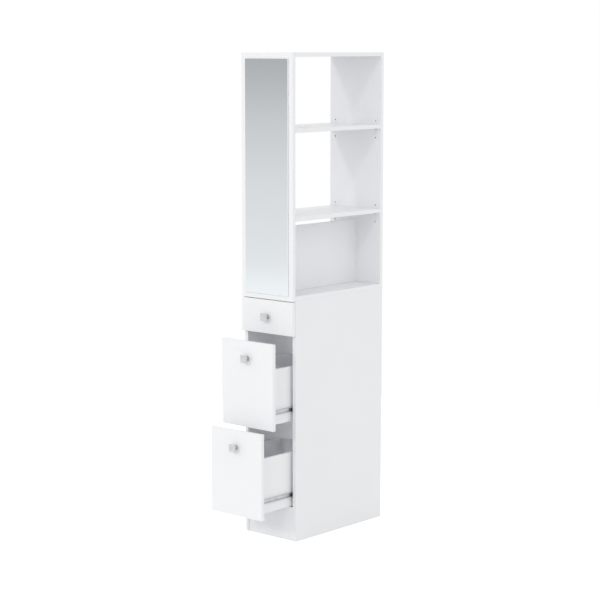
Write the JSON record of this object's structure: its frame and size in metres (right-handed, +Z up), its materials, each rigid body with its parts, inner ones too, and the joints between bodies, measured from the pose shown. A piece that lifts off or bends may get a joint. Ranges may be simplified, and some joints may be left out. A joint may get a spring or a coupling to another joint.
{
  "type": "bathroom storage tower",
  "caption": "Tall narrow white bathroom tower with a mirror on its front, open shelves reached from the sides and drawers on ball-bearing runners below.",
  "frame": {"origin": "middle of the bottom edge of the back, where the floor and the wall meet", "axes": "+X to the right along the narrow front, +Y from the front back to the wall, +Z up"},
  "size_m": [0.253, 0.72, 1.81],
  "materials": {
    "white_board": "satin white melamine coating",
    "mirror_glass": "silvered, polished edge",
    "knob_metal": "satin",
    "runner_steel": "zinc plated, satin",
    "ball_steel": "polished",
    "cam_zinc": "die cast",
    "pin_steel": "nickel plated",
    "black_plastic": "moulded",
    "foam_pad": "foam tape",
    "dowel_wood": "bare beech",
    "hardboard": "white faced hardboard"
  },
  "bodies": {
    "carcass": {"rear_upright": "white_board", "front_upright": "white_board", "side_panel_left": "white_board", "side_panel_right": "white_board", "cabinet_top": "white_board", "bottom_panel": "white_board", "plinth": "white_board", "rear_plinth": "white_board", "top_panel": "white_board", "shelf_upper": "white_board", "shelf_lower": "white_board", "brace_panel": "white_board", "shelf_pins": "pin_steel", "mirror_glass": "mirror_glass", "mirror_pads": "foam_pad", "cam_locks": "cam_zinc", "cam_bolts": "cam_zinc", "dowels": "dowel_wood", "runner_stops": "black_plastic", "channel_screws": "cam_zinc", "top_drawer_channel_left": "runner_steel", "top_drawer_channel_right": "runner_steel", "middle_drawer_channel_left": "runner_steel", "middle_drawer_channel_right": "runner_steel", "bottom_drawer_channel_left": "runner_steel", "bottom_drawer_channel_right": "runner_steel"},
    "top_drawer": {"top_drawer_front": "white_board", "top_drawer_side_left": "white_board", "top_drawer_side_right": "white_board", "top_drawer_back": "white_board", "top_drawer_bottom": "hardboard", "top_drawer_knob": "knob_metal", "top_drawer_fixings": "cam_zinc", "top_drawer_rail_left": "runner_steel", "top_drawer_rail_right": "runner_steel"},
    "top_drawer_cages": {"top_drawer_ball_cages": "runner_steel", "top_drawer_balls": "ball_steel"},
    "middle_drawer": {"middle_drawer_front": "white_board", "middle_drawer_side_left": "white_board", "middle_drawer_side_right": "white_board", "middle_drawer_back": "white_board", "middle_drawer_bottom": "hardboard", "middle_drawer_knob": "knob_metal", "middle_drawer_fixings": "cam_zinc", "middle_drawer_rail_left": "runner_steel", "middle_drawer_rail_right": "runner_steel"},
    "middle_drawer_cages": {"middle_drawer_ball_cages": "runner_steel", "middle_drawer_balls": "ball_steel"},
    "bottom_drawer": {"bottom_drawer_front": "white_board", "bottom_drawer_side_left": "white_board", "bottom_drawer_side_right": "white_board", "bottom_drawer_back": "white_board", "bottom_drawer_bottom": "hardboard", "bottom_drawer_knob": "knob_metal", "bottom_drawer_fixings": "cam_zinc", "bottom_drawer_rail_left": "runner_steel", "bottom_drawer_rail_right": "runner_steel"},
    "bottom_drawer_cages": {"bottom_drawer_ball_cages": "runner_steel", "bottom_drawer_balls": "ball_steel"}
  },
  "joints": [
    {"name": "top_drawer_slide", "type": "slide", "parent": "carcass", "child": "top_drawer", "axis": [0, -1, 0], "range_m": [0, 0.26]},
    {"name": "top_drawer_cage_slide", "type": "slide", "parent": "carcass", "child": "top_drawer_cages", "axis": [0, -1, 0], "range_m": [0, 0.13]},
    {"name": "middle_drawer_slide", "type": "slide", "parent": "carcass", "child": "middle_drawer", "axis": [0, -1, 0], "range_m": [-0.109, 0.151]},
    {"name": "middle_drawer_cage_slide", "type": "slide", "parent": "carcass", "child": "middle_drawer_cages", "axis": [0, -1, 0], "range_m": [-0.0545, 0.0755]},
    {"name": "bottom_drawer_slide", "type": "slide", "parent": "carcass", "child": "bottom_drawer", "axis": [0, -1, 0], "range_m": [-0.172, 0.088]},
    {"name": "bottom_drawer_cage_slide", "type": "slide", "parent": "carcass", "child": "bottom_drawer_cages", "axis": [0, -1, 0], "range_m": [-0.086, 0.044]}
  ],
  "couplings": [
    {"joint": "top_drawer_cage_slide", "follows": "top_drawer_slide", "ratio": 0.5},
    {"joint": "middle_drawer_cage_slide", "follows": "middle_drawer_slide", "ratio": 0.5},
    {"joint": "bottom_drawer_cage_slide", "follows": "bottom_drawer_slide", "ratio": 0.5}
  ]
}
